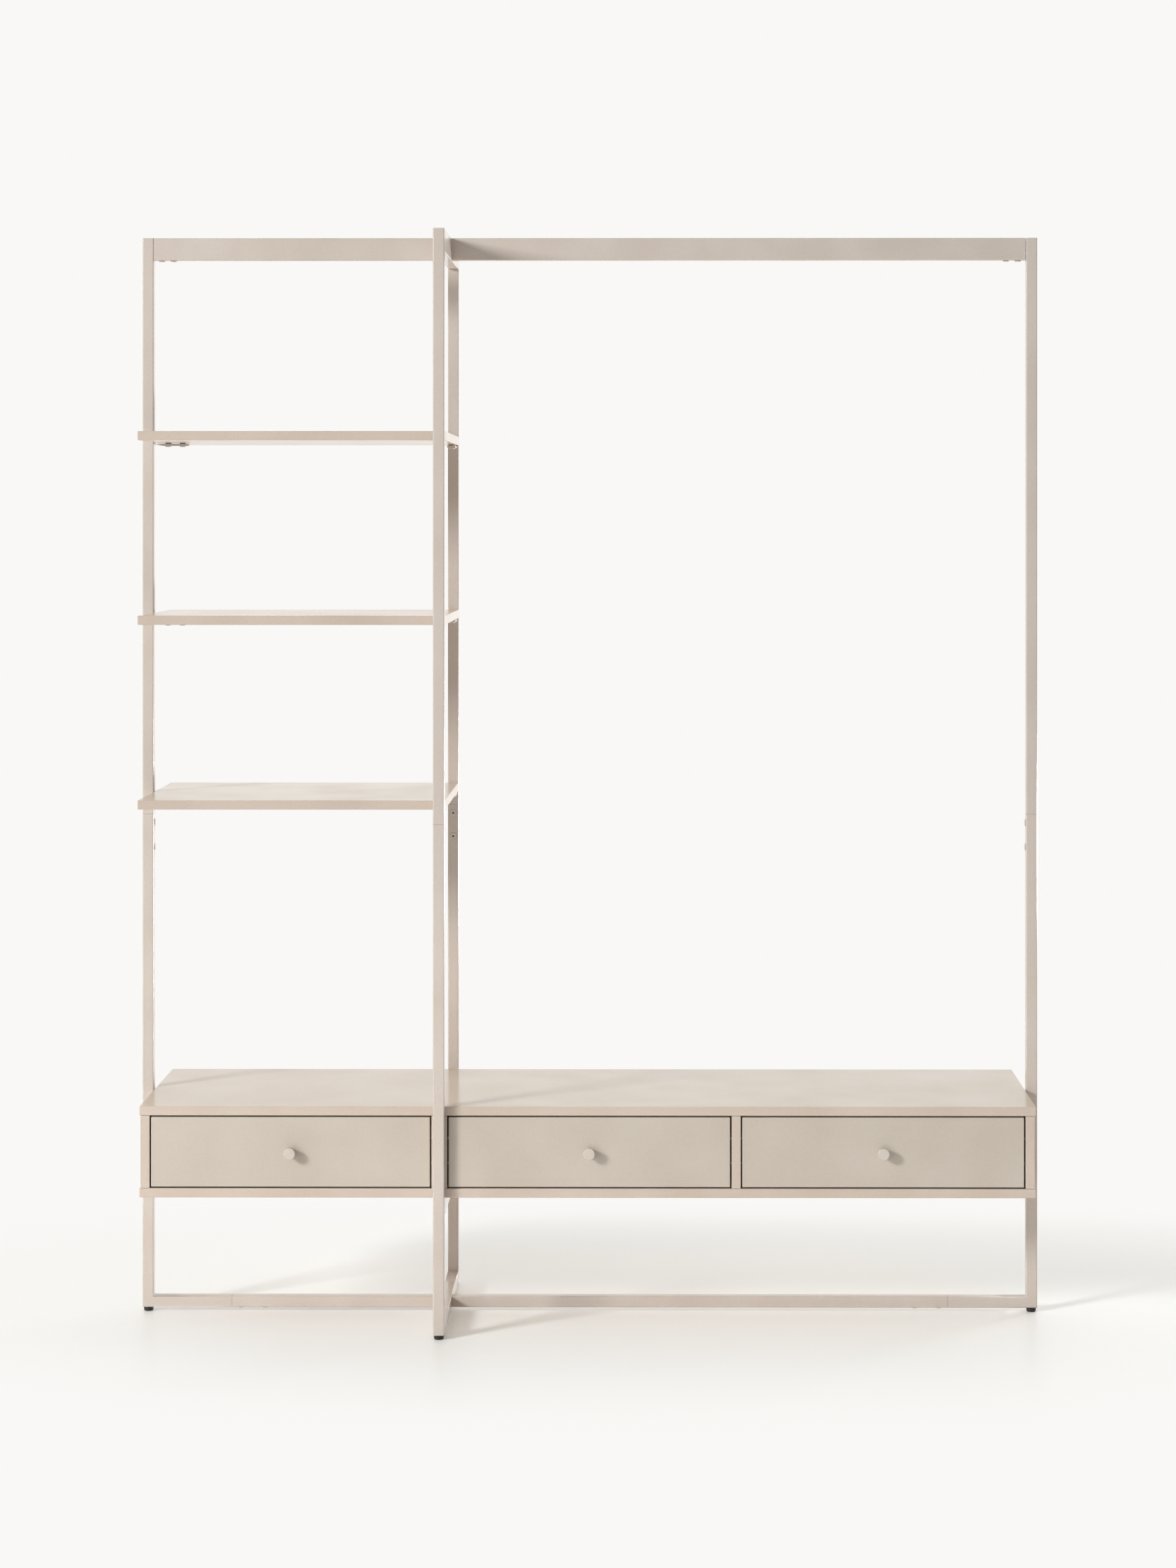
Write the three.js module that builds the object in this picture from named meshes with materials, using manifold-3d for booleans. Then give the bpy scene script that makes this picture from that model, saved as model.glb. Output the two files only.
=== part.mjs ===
// Open-front wardrobe: a diamond of four split steel posts, rails across the top and bottom, three
// shelves in the left bay, and a long bench with three drawers on ball slides.
// Millimetres, +Z up. The origin is on the floor under the middle, and the drawers open towards -Y.
import * as THREE from "three";
import { mergeVertices } from "three/addons/utils/BufferGeometryUtils.js";
import Module from "manifold-3d";

const wasm = await Module();
wasm.setup();

// Whole piece
const width = 1600;
const depth = 440;
const height = 1920;
const gap = 0.3; // between pieces that touch
const overrun = 4; // how far a cutting tool reaches past what it cuts
const turnedSides = 28;
const holeSides = 16;
const rimPoints = 4; // round the edge of a turned head

// Tube frame
const tube = 20; // side of the square tube
const wall = 1.5;
const tubeRound = 2;
const railHeight = 40; // of the three rails at the top
const benchRailHeight = 30;
const frameOffset = 256.5; // of the centre frame, left of the middle
const endStub = 140; // foot rail welded to an end post, past its inner face
const crossMiddle = 192; // loose length of the foot rail between the two centre posts
const endPlate = 2; // plate that closes a tube's end

// Inner tongues that join the tubes
const spliceTongue = 75;
const railTongue = 45;
const tongueWall = 2;
const tongueRoot = 20; // length of tongue inside the tube that it is welded to
const weldLength = 8;
const weldSetback = 5;

// Splice screws
const screwNear = 16; // from the split to the near screw
const screwFar = 59; // from the split to the far screw
const screwHead = 12;
const screwHeadHeight = 2.3;
const screwHeadRound = 0.8;
const screwShank = 6;
const screwLength = 12;
const socketAcross = 4;
const socketDepth = 1.6;

// Foot glides
const footHeight = 8;
const footTop = 18;
const footBottom = 15;
const stem = 8;
const stemLength = 12;

// Shelves
const shelfBoard = 16;
const lowestShelfTop = 930;
const topSpace = 310; // from the uppermost shelf to the top rails
const shelfNames = ["lower", "middle", "upper"];
const splitBelowShelf = 24; // from the lowest shelf's underside down to the split of the posts
const boardRound = 1;

// Plates under the boards, welded to the posts
const plateReach = 61;
const plateWidth = 18;
const plateThickness = 3.2;
const plateTaper = 15; // length over which the plate thins towards the post
const plateTip = 1.4;
const washer = 11;
const washerHeight = 2;
const plateBoltNear = 25; // from the post's inner face
const plateBoltInset = 10; // from the plate's free end

// Bench
const benchTop = 400;
const benchBoard = 16;
const bayHeight = 126;
const benchEndGap = 3.5; // between an end post and the bench's top board
const sideInset = 2; // of the bench's sides behind the ends of its top board
const centreDivider = 27;
const rightDivider = 16;
const backBoard = 8;

// Drawers
const reveal = 2.5; // round a drawer front
const frontBoard = 16;
const boxWall = 12;
const boxHeight = 100;
const backSpace = 25.1; // behind a drawer box
const bottomBoard = 6;
const bottomLift = 10; // of the bottom board above the box's lower edge
const grooveDepth = 6;
const knob = 20.5;
const knobFoot = 14; // across, where the knob stands on the drawer front
const knobLength = 19.5;
const knobRound = 1.5;

// Ball slides
const slideHeight = 45;
const slideWidth = 12.7; // between the bay's wall and the drawer box
const slideSheet = 1.2;
const channelDepth = 10;
const channelLip = 5;
const runnerBack = 3; // of the runner's hooked edge, from the channel's web
const runnerHook = 4;

// Places worked out from the sizes
const postX = (width - tube) / 2;
const postY = (depth - tube) / 2;
const innerX = width / 2 - tube;
const boardDepth = depth - 2 * (tube + gap);
const split = lowestShelfTop - shelfBoard - splitBelowShelf;
const shelfPitch =
  (height - railHeight - topSpace - lowestShelfTop) / (shelfNames.length - 1);
const betweenPosts = depth / 2 - tube; // from the middle to a centre post's inner face
const crossStub = betweenPosts - crossMiddle / 2;
const boxLength = boardDepth - frontBoard - gap - backBoard - backSpace;
const bench = {
  half: innerX - benchEndGap,
  bottomTop: benchTop - benchBoard - bayHeight,
  bottomUnder: benchTop - 2 * benchBoard - bayHeight,
};
bench.sideOuter = bench.half - sideInset;
bench.sideInner = bench.sideOuter - benchBoard;

// Finishes
const finish = (color, roughness, metalness) =>
  new THREE.MeshStandardMaterial({ color, roughness, metalness });
const finishes = {
  steel: () => finish(0xcbc2b7, 0.5, 0.2),
  board: () => finish(0xcfc1b3, 0.45, 0),
  front: () => finish(0xc9c0b1, 0.45, 0),
  knob: () => finish(0xd8d0c6, 0.45, 0),
  inside: () => finish(0xbfb5a8, 0.6, 0),
  zinc: () => finish(0xb9bcc0, 0.35, 0.9),
  rubber: () => finish(0x1c1b1a, 0.7, 0),
};

// Closed solids

function solid(geometry) {
  const bare = geometry.clone();
  bare.deleteAttribute("normal");
  bare.deleteAttribute("uv");
  const merged = mergeVertices(bare);
  return new wasm.Manifold(
    new wasm.Mesh({
      numProp: 3,
      vertProperties: merged.attributes.position.array,
      triVerts: new Uint32Array(merged.index.array),
    }),
  );
}

const joined = (pieces) => pieces.reduce((all, piece) => all.add(piece));
const cut = (piece, tools) => tools.reduce((left, tool) => left.subtract(tool), piece);

function roundedPath(path, across, along, round) {
  const x = across / 2 - round;
  const y = along / 2 - round;
  const turn = Math.PI / 2;
  path.moveTo(x, -y - round);
  path.absarc(x, -y, round, -turn, 0, false);
  path.absarc(x, y, round, 0, turn, false);
  path.absarc(-x, y, round, turn, Math.PI, false);
  path.absarc(-x, -y, round, Math.PI, Math.PI + turn, false);
  path.closePath();
  return path;
}

function plainPath(path, across, along) {
  const x = across / 2;
  const y = along / 2;
  path.moveTo(-x, -y);
  path.lineTo(x, -y);
  path.lineTo(x, y);
  path.lineTo(-x, y);
  path.closePath();
  return path;
}

// The section of a drawn tube, rounded outside.
function tubeSection(across, along) {
  const shape = roundedPath(new THREE.Shape(), across, along, tubeRound);
  shape.holes.push(plainPath(new THREE.Path(), across - 2 * wall, along - 2 * wall));
  return shape;
}

const drawn = (shape, length) =>
  new THREE.ExtrudeGeometry(shape, { depth: length, bevelEnabled: false, curveSegments: 2 });

// A section that stands between two heights.
const upright = (shape, from, to) => solid(drawn(shape, to - from).translate(0, 0, from));

// A section that runs along X at a height. The section's first size is then its height.
const level = (shape, from, to, at) =>
  solid(drawn(shape, to - from).rotateY(Math.PI / 2).translate(from, 0, at));

// An outline in X and Z that is drawn along Y.
const drawnAlongY = (shape, from, to) =>
  solid(drawn(shape, to - from).rotateX(Math.PI / 2).translate(0, to, 0));

// A plain block between two corners.
function block(low, high) {
  const size = high.map((value, i) => value - low[i]);
  const middle = high.map((value, i) => (value + low[i]) / 2);
  return solid(new THREE.BoxGeometry(...size).translate(...middle));
}

// A board between two corners, with its long edges eased.
function board(low, high) {
  const [across, along, thick] = high.map((value, i) => value - low[i]);
  const outline = plainPath(
    new THREE.Shape(),
    across - 2 * boardRound,
    along - 2 * boardRound,
  );
  const geometry = new THREE.ExtrudeGeometry(outline, {
    depth: thick - 2 * boardRound,
    bevelThickness: boardRound,
    bevelSize: boardRound,
    bevelSegments: 2,
  });
  return solid(
    geometry.translate((low[0] + high[0]) / 2, (low[1] + high[1]) / 2, low[2] + boardRound),
  );
}

// A round peg that stands between two heights at a distance along X.
const peg = (diameter, from, to, at) =>
  solid(
    new THREE.CylinderGeometry(diameter / 2, diameter / 2, to - from, holeSides)
      .rotateX(Math.PI / 2)
      .translate(at, 0, (from + to) / 2),
  );

// The points of a rim rounded outwards, from its side to its top.
const roundedRim = (radius, top, round) =>
  Array.from({ length: rimPoints }, (_, step) => {
    const angle = (step / (rimPoints - 1)) * (Math.PI / 2);
    return [radius - round + round * Math.cos(angle), top - round + round * Math.sin(angle)];
  });

// A profile of radius and height points, turned about the Z axis.
const turned = (points) =>
  solid(
    new THREE.LatheGeometry(
      points.map(([radius, at]) => new THREE.Vector2(radius, at)),
      turnedSides,
    ).rotateX(Math.PI / 2),
  );

// Scene

const wardrobe = new THREE.Group();
const frameGroup = new THREE.Group();
const shelfGroup = new THREE.Group();
const benchGroup = new THREE.Group();
wardrobe.add(frameGroup, shelfGroup, benchGroup);

function place(group, name, shape, material, position = [0, 0, 0], turn = 0) {
  const made = shape.getMesh();
  const geometry = new THREE.BufferGeometry();
  geometry.setAttribute("position", new THREE.BufferAttribute(made.vertProperties, made.numProp));
  geometry.setIndex(new THREE.BufferAttribute(made.triVerts, 1));
  geometry.computeVertexNormals();
  const mesh = new THREE.Mesh(geometry, material);
  mesh.name = name;
  mesh.position.set(...position);
  mesh.rotation.z = turn;
  group.add(mesh);
  return mesh;
}

// Joints of the tubes

const bore = (size) => size - 2 * wall;
const tongueSize = (size) => bore(size) - 2 * gap;

const tongueBore = (size) => tongueSize(size) - 2 * tongueWall;

// A plain section around the bore of a tongue for a tube of this height.
function sleeveSection(across, along, high) {
  const shape = plainPath(new THREE.Shape(), across, along);
  shape.holes.push(plainPath(new THREE.Path(), tongueBore(high), tongueBore(tube)));
  return shape;
}
const tongueSection = (high) => sleeveSection(tongueSize(high), tongueSize(tube), high);

// The welded collar that holds a tongue in a post or a stub.
const collarSection = () => sleeveSection(tube - wall, tube - wall, tube);

// A level tongue out of a tube's end at x = seam.
const levelTongue = (seam, at) =>
  joined([
    level(tongueSection(tube), seam - tongueRoot, seam + spliceTongue, at),
    level(collarSection(), seam - weldSetback - weldLength, seam - weldSetback, at),
  ]);

// A level tongue welded to the side of a tube, which a rail of this height slides over.
const sideTongue = (high, at) =>
  level(tongueSection(high), (tube - wall) / 2, tube / 2 + railTongue, at);

// A plate welded to a post's inner face, with the washers that a board rests on.
function boardPlate(under) {
  const face = tube / 2;
  const top = under - gap - washerHeight;
  const shape = new THREE.Shape();
  shape.moveTo(face - wall / 2, top);
  shape.lineTo(face - wall / 2, top - plateTip);
  shape.lineTo(face, top - plateTip);
  shape.lineTo(face + plateTaper, top - plateThickness);
  shape.lineTo(face + plateReach, top - plateThickness);
  shape.lineTo(face + plateReach, top);
  shape.closePath();
  const plate = drawnAlongY(shape, -plateWidth / 2, plateWidth / 2);
  const washers = [plateBoltNear, plateReach - plateBoltInset].map((reach) =>
    peg(washer, top - plateThickness / 2, top + washerHeight, face + reach),
  );
  return joined([plate, ...washers]);
}

const screwHeights = [split - screwNear, split - screwFar];

const screwHoles = () =>
  screwHeights.map((at) => {
    const radius = screwShank / 2 + gap;
    const reach = wall + tongueWall + 2 * overrun;
    const hole = new THREE.CylinderGeometry(radius, radius, reach, holeSides);
    return solid(hole.rotateZ(Math.PI / 2).translate(tube / 2 - (wall + tongueWall) / 2, 0, at));
  });

// The lower half of a post about its own axis, with its foot rail's stub towards +X.
function lowerPost(stub, extras) {
  const footRail = footHeight + tube / 2;
  const seam = tube / 2 + stub;
  const shell = joined([
    upright(tubeSection(tube, tube), footHeight, split),
    block(
      [-(tube - wall) / 2, -(tube - wall) / 2, footHeight],
      [(tube - wall) / 2, (tube - wall) / 2, footHeight + endPlate],
    ),
    level(tubeSection(tube, tube), (tube - wall) / 2, seam, footRail),
    levelTongue(seam, footRail),
    ...extras,
  ]);
  const stemHole = peg(stem + 2 * gap, footHeight - overrun, footHeight + endPlate + overrun, 0);
  return cut(shell, [stemHole, ...screwHoles()]);
}

// The upper half of a post, with its tongue down into the lower half and one for the top rail.
function upperPost(plates) {
  const from = split + gap;
  const shell = joined([
    upright(tubeSection(tube, tube), from, height),
    block(
      [-(tube - wall) / 2, -(tube - wall) / 2, height - endPlate],
      [(tube - wall) / 2, (tube - wall) / 2, height],
    ),
    upright(tongueSection(tube), split - spliceTongue, from + tongueRoot),
    upright(collarSection(), from + weldSetback, from + weldSetback + weldLength),
    sideTongue(railHeight, height - railHeight / 2),
    ...plates,
  ]);
  return cut(shell, screwHoles());
}

function spliceScrew() {
  const head = screwHead / 2;
  const body = turned([
    [0, -screwLength],
    [screwShank / 2, -screwLength],
    [screwShank / 2, 0],
    [head, 0],
    ...roundedRim(head, screwHeadHeight, screwHeadRound),
    [0, screwHeadHeight],
  ]);
  const corner = socketAcross / Math.sqrt(3); // of a hexagon, from its width across the flats
  const socket = new THREE.CylinderGeometry(corner, corner, socketDepth + overrun, 6);
  const key = socket
    .rotateX(Math.PI / 2)
    .translate(0, 0, screwHeadHeight - socketDepth + (socketDepth + overrun) / 2);
  return cut(body, [solid(key)]);
}

const footGlide = () =>
  turned([
    [0, 0],
    [footBottom / 2, 0],
    [footTop / 2, footHeight - gap],
    [stem / 2, footHeight - gap],
    [stem / 2, footHeight - gap + stemLength],
    [0, footHeight - gap + stemLength],
  ]);

// Frame

const shelfTops = shelfNames.map((_, i) => lowestShelfTop + i * shelfPitch);
const shelfPlates = () => shelfTops.map((top) => boardPlate(top - shelfBoard));
const benchPlate = () => boardPlate(bench.bottomUnder);
const benchRailAt = bench.bottomUnder - gap - benchRailHeight / 2;
const benchTongue = () => sideTongue(benchRailHeight, benchRailAt);

const posts = [
  { name: "left", at: [-postX, 0], turn: 0, stub: endStub, low: benchPlate, shelves: true },
  { name: "right", at: [postX, 0], turn: Math.PI, stub: endStub, low: benchPlate, shelves: false },
  {
    name: "front",
    at: [-frameOffset, -postY],
    turn: Math.PI / 2,
    stub: crossStub,
    low: benchTongue,
    shelves: true,
  },
  {
    name: "rear",
    at: [-frameOffset, postY],
    turn: -Math.PI / 2,
    stub: crossStub,
    low: benchTongue,
    shelves: true,
  },
];

for (const post of posts) {
  const plates = post.shelves ? shelfPlates() : [];
  const spot = [...post.at, 0];
  const lower = lowerPost(post.stub, [post.low()]);
  place(frameGroup, `${post.name}_post_lower`, lower, finishes.steel(), spot, post.turn);
  place(frameGroup, `${post.name}_post_upper`, upperPost(plates), finishes.steel(), spot, post.turn);
  place(frameGroup, `foot_${post.name}`, footGlide(), finishes.rubber(), spot, post.turn);
}

// Screws at the splits, on the posts whose inner faces stay in sight.
for (const post of posts.filter(({ name }) => name !== "front")) {
  screwHeights.forEach((at, i) => {
    const holder = new THREE.Group();
    holder.position.set(...post.at, at);
    holder.rotation.z = post.turn;
    frameGroup.add(holder);
    const name = `splice_screw_${post.name}_${i + 1}`;
    const screw = place(holder, name, spliceScrew(), finishes.steel(), [tube / 2 + gap, 0, 0]);
    screw.rotation.y = Math.PI / 2;
  });
}

// The rails between the end posts and the centre frame.
const frameLeft = -frameOffset - tube / 2;
const frameRight = -frameOffset + tube / 2;
const rail = (high, from, to, at) =>
  level(tubeSection(high, tube), from + gap, to - gap, at);
const topAt = height - railHeight / 2;
const footRailAt = footHeight + tube / 2;
const stubEnd = innerX - endStub;
const rails = {
  top_rail_left: rail(railHeight, -innerX, frameLeft, topAt),
  top_rail_right: rail(railHeight, frameRight, innerX, topAt),
  bottom_rail_left: rail(tube, -stubEnd, frameLeft, footRailAt),
  bottom_rail_right: rail(tube, frameRight, stubEnd, footRailAt),
};
for (const [name, shape] of Object.entries(rails)) {
  place(frameGroup, name, shape, finishes.steel());
}

// The rails across the centre frame, drawn along X and turned, with a tongue to each side.
function crossRail(high, reach, at, hasSideTongues) {
  const bar = level(tubeSection(high, tube), -reach + gap, reach - gap, at);
  if (!hasSideTongues) return bar;
  const arm = () => drawn(tongueSection(high), railTongue + wall / 2).rotateY(Math.PI / 2);
  const out = (tube - wall) / 2;
  return joined([
    bar,
    solid(arm().translate(out, 0, at).rotateZ(Math.PI / 2)),
    solid(arm().translate(out, 0, at).rotateZ(-Math.PI / 2)),
  ]);
}
const crossRails = {
  top_rail_cross: crossRail(railHeight, betweenPosts, topAt, true),
  bottom_rail_cross: crossRail(tube, crossMiddle / 2, footRailAt, true),
  bench_rail_cross: crossRail(benchRailHeight, betweenPosts, benchRailAt, false),
};
for (const [name, shape] of Object.entries(crossRails)) {
  place(frameGroup, name, shape, finishes.steel(), [-frameOffset, 0, 0], Math.PI / 2);
}

// Shelves

shelfGroup.position.set((-innerX + gap + frameRight) / 2, 0, 0);
const shelfHalf = (frameRight + innerX - gap) / 2;
shelfNames.forEach((name, i) => {
  const shape = board(
    [-shelfHalf, -boardDepth / 2, -shelfBoard],
    [shelfHalf, boardDepth / 2, 0],
  );
  place(shelfGroup, `shelf_${name}`, shape, finishes.board(), [0, 0, shelfTops[i]]);
});

// Bench

const half = boardDepth / 2;
const bayLow = bench.bottomTop + gap;
const bayHigh = bench.bottomTop + bayHeight - gap;
const backFront = half - backBoard;
const centreLeft = -frameOffset - centreDivider / 2;
const centreRight = -frameOffset + centreDivider / 2;
const rightLeft = (centreRight + bench.sideInner - rightDivider) / 2;
const rightRight = rightLeft + rightDivider;
const benchBoards = {
  bench_top: board([-bench.half, -half, benchTop - benchBoard], [bench.half, half, benchTop]),
  bench_bottom: board(
    [-bench.half, -half, bench.bottomUnder],
    [bench.half, half, bench.bottomTop],
  ),
  bench_side_left: block([-bench.sideOuter, -half, bayLow], [-bench.sideInner, half, bayHigh]),
  bench_side_right: block([bench.sideInner, -half, bayLow], [bench.sideOuter, half, bayHigh]),
  bench_divider_centre: block([centreLeft, -half, bayLow], [centreRight, backFront - gap, bayHigh]),
  bench_divider_right: block([rightLeft, -half, bayLow], [rightRight, backFront - gap, bayHigh]),
  bench_back: block(
    [-bench.sideInner + gap, backFront, bayLow],
    [bench.sideInner - gap, half, bayHigh],
  ),
};
for (const [name, shape] of Object.entries(benchBoards)) {
  place(benchGroup, name, shape, finishes.board());
}

// Drawers

const bayMiddle = bench.bottomTop + bayHeight / 2;

// The fixed channel's section, with its web on the bay's wall at x = 0 and its mouth towards +X.
function channelSection() {
  const high = slideHeight / 2;
  const web = gap + slideSheet;
  const mouth = gap + channelDepth;
  const shape = new THREE.Shape();
  shape.moveTo(gap, -high);
  shape.lineTo(mouth, -high);
  shape.lineTo(mouth, -high + channelLip);
  shape.lineTo(mouth - slideSheet, -high + channelLip);
  shape.lineTo(mouth - slideSheet, -high + slideSheet);
  shape.lineTo(web, -high + slideSheet);
  shape.lineTo(web, high - slideSheet);
  shape.lineTo(mouth - slideSheet, high - slideSheet);
  shape.lineTo(mouth - slideSheet, high - channelLip);
  shape.lineTo(mouth, high - channelLip);
  shape.lineTo(mouth, high);
  shape.lineTo(gap, high);
  shape.closePath();
  return shape;
}

// The runner's section, with its web on the drawer box and its hooked edges inside the channel.
function runnerSection() {
  const web = slideWidth - gap;
  const back = gap + slideSheet + runnerBack;
  const hook = slideHeight / 2 - slideSheet - gap;
  const outer = slideHeight / 2 - channelLip - gap;
  const inner = outer - slideSheet;
  const shape = new THREE.Shape();
  shape.moveTo(web, -outer);
  shape.lineTo(web, outer);
  shape.lineTo(back + runnerHook - slideSheet, outer);
  shape.lineTo(back + runnerHook - slideSheet, hook);
  shape.lineTo(back, hook);
  shape.lineTo(back, inner);
  shape.lineTo(web - slideSheet, inner);
  shape.lineTo(web - slideSheet, -inner);
  shape.lineTo(back, -inner);
  shape.lineTo(back, -hook);
  shape.lineTo(back + runnerHook - slideSheet, -hook);
  shape.lineTo(back + runnerHook - slideSheet, -outer);
  shape.closePath();
  return shape;
}

// A drawer box: four walls, grooved inside for the bottom board.
function drawerBox(wide) {
  const x = wide / 2;
  const low = -boxHeight / 2;
  const grooveLow = low + bottomLift;
  const inside = block(
    [-x + boxWall, boxWall, low - overrun],
    [x - boxWall, boxLength - boxWall, -low + overrun],
  );
  const groove = block(
    [-x + boxWall - grooveDepth, boxWall - grooveDepth, grooveLow],
    [x - boxWall + grooveDepth, boxLength - boxWall + grooveDepth, grooveLow + bottomBoard],
  );
  return cut(block([-x, 0, low], [x, boxLength, -low]), [inside, groove]);
}

function drawerBottom(wide) {
  const x = wide / 2 - boxWall + grooveDepth - gap;
  const low = -boxHeight / 2 + bottomLift + gap;
  return block(
    [-x, boxWall - grooveDepth + gap, low],
    [x, boxLength - boxWall + grooveDepth - gap, low + bottomBoard - 2 * gap],
  );
}

const drawerKnob = () =>
  turned([
    [0, 0],
    [knobFoot / 2, 0],
    ...roundedRim(knob / 2, knobLength, knobRound),
    [0, knobLength],
  ]);

const bays = [
  { name: "left", from: -bench.sideInner, to: centreLeft },
  { name: "middle", from: centreRight, to: rightLeft },
  { name: "right", from: rightRight, to: bench.sideInner },
];

for (const bay of bays) {
  const wide = bay.to - bay.from;
  const boxWide = wide - 2 * slideWidth;
  const frontHalf = wide / 2 - reveal;
  const drawer = new THREE.Group();
  drawer.position.set((bay.from + bay.to) / 2, -half, bayMiddle);
  benchGroup.add(drawer);
  const front = board(
    [-frontHalf, 0, -bayHeight / 2 + reveal],
    [frontHalf, frontBoard, bayHeight / 2 - reveal],
  );
  const label = `drawer_${bay.name}`;
  const boxAt = [0, frontBoard + gap, 0];
  place(drawer, `${label}_front`, front, finishes.front());
  place(drawer, `${label}_box`, drawerBox(boxWide), finishes.inside(), boxAt);
  place(drawer, `${label}_bottom`, drawerBottom(boxWide), finishes.inside(), boxAt);
  const grip = place(drawer, `${label}_knob`, drawerKnob(), finishes.knob(), [0, -gap, 0]);
  grip.rotation.x = Math.PI / 2;
  for (const [side, wallX, turn] of [
    ["left", -wide / 2, 0],
    ["right", wide / 2, Math.PI],
  ]) {
    const from = frontBoard + gap;
    const to = from + boxLength;
    const run = turn ? [-to, -from] : [from, to];
    const channel = drawnAlongY(channelSection(), ...run);
    const runner = drawnAlongY(runnerSection(), ...run);
    const at = [wallX, 0, 0];
    place(drawer, `channel_${bay.name}_${side}`, channel, finishes.zinc(), at, turn);
    place(drawer, `runner_${bay.name}_${side}`, runner, finishes.zinc(), at, turn);
  }
}

export default wardrobe;
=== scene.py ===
"""Open-front wardrobe: a diamond of sand-coloured steel tube with three shelves and a bench of three drawers.
Metres, +Z up. The floor is at z = 0 and the drawers open towards -Y."""
import math
import bmesh
import bpy
from mathutils import Matrix, Vector


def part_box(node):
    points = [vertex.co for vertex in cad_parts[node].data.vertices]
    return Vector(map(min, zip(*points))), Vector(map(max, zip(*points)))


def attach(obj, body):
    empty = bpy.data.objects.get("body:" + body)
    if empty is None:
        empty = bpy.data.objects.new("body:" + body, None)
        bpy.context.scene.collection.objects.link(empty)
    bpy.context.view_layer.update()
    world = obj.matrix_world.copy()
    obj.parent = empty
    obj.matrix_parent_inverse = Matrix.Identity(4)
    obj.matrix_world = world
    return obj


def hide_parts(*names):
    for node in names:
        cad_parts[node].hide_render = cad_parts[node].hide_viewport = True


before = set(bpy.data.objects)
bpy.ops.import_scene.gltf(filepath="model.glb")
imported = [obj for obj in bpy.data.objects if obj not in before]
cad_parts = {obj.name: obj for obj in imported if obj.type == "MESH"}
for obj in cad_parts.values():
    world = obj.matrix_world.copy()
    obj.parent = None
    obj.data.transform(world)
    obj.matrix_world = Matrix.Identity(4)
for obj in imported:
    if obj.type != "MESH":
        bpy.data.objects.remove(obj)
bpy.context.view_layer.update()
scene = bpy.context.scene
MM = 0.001

# Sizes of the real thing, as in the CAD source
TUBE = 20 * MM
TUBE_CORNER = 2 * MM
TOP_RAIL = 40 * MM
BENCH_RAIL = 30 * MM
GAP = 0.3 * MM
HEIGHT = 1920 * MM
SPLIT = 890 * MM
FOOT_RAIL_AT = 18 * MM
POST_X = 790 * MM
POST_Y = 210 * MM
CENTRE_X = -256.5 * MM
END_SEAM = 150 * MM
CROSS_SEAM = 114 * MM
X_AXIS = Vector((1, 0, 0))
Y_AXIS = Vector((0, 1, 0))
Z_AXIS = Vector((0, 0, 1))


# Colours and node helper

def linear(hex_colour):
    """An sRGB hex colour as linear red, green, blue and alpha."""
    values = [int(hex_colour[i:i + 2], 16) / 255 for i in (1, 3, 5)]
    return [v / 12.92 if v <= 0.04045 else ((v + 0.055) / 1.055) ** 2.4 for v in values] + [1.0]


def add(tree, kind, inputs=None, **settings):
    """Adds a node, sets its properties, and fills or links its inputs."""
    node = tree.nodes.new(kind)
    for name, value in settings.items():
        setattr(node, name, value)
    for key, value in (inputs or {}).items():
        if isinstance(value, bpy.types.NodeSocket):
            tree.links.new(value, node.inputs[key])
        else:
            node.inputs[key].default_value = value
    return node


# Materials

# Sizes of the patterns. A pixel of the photo is 1.3 mm on the wardrobe, so what is finer can't be read from
# it and is assumed. That holds for the paint's speckle: how fine the real one is isn't known, and it is
# drawn at about one pixel of the photo.
SPECKLE = 1.2 * MM
DRIFT = 110 * MM
BLOOM = 18 * MM
GRIT = 0.6 * MM
ZINC_LINE_APART = 0.4 * MM
ZINC_LINE_LONG = 25 * MM


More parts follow.
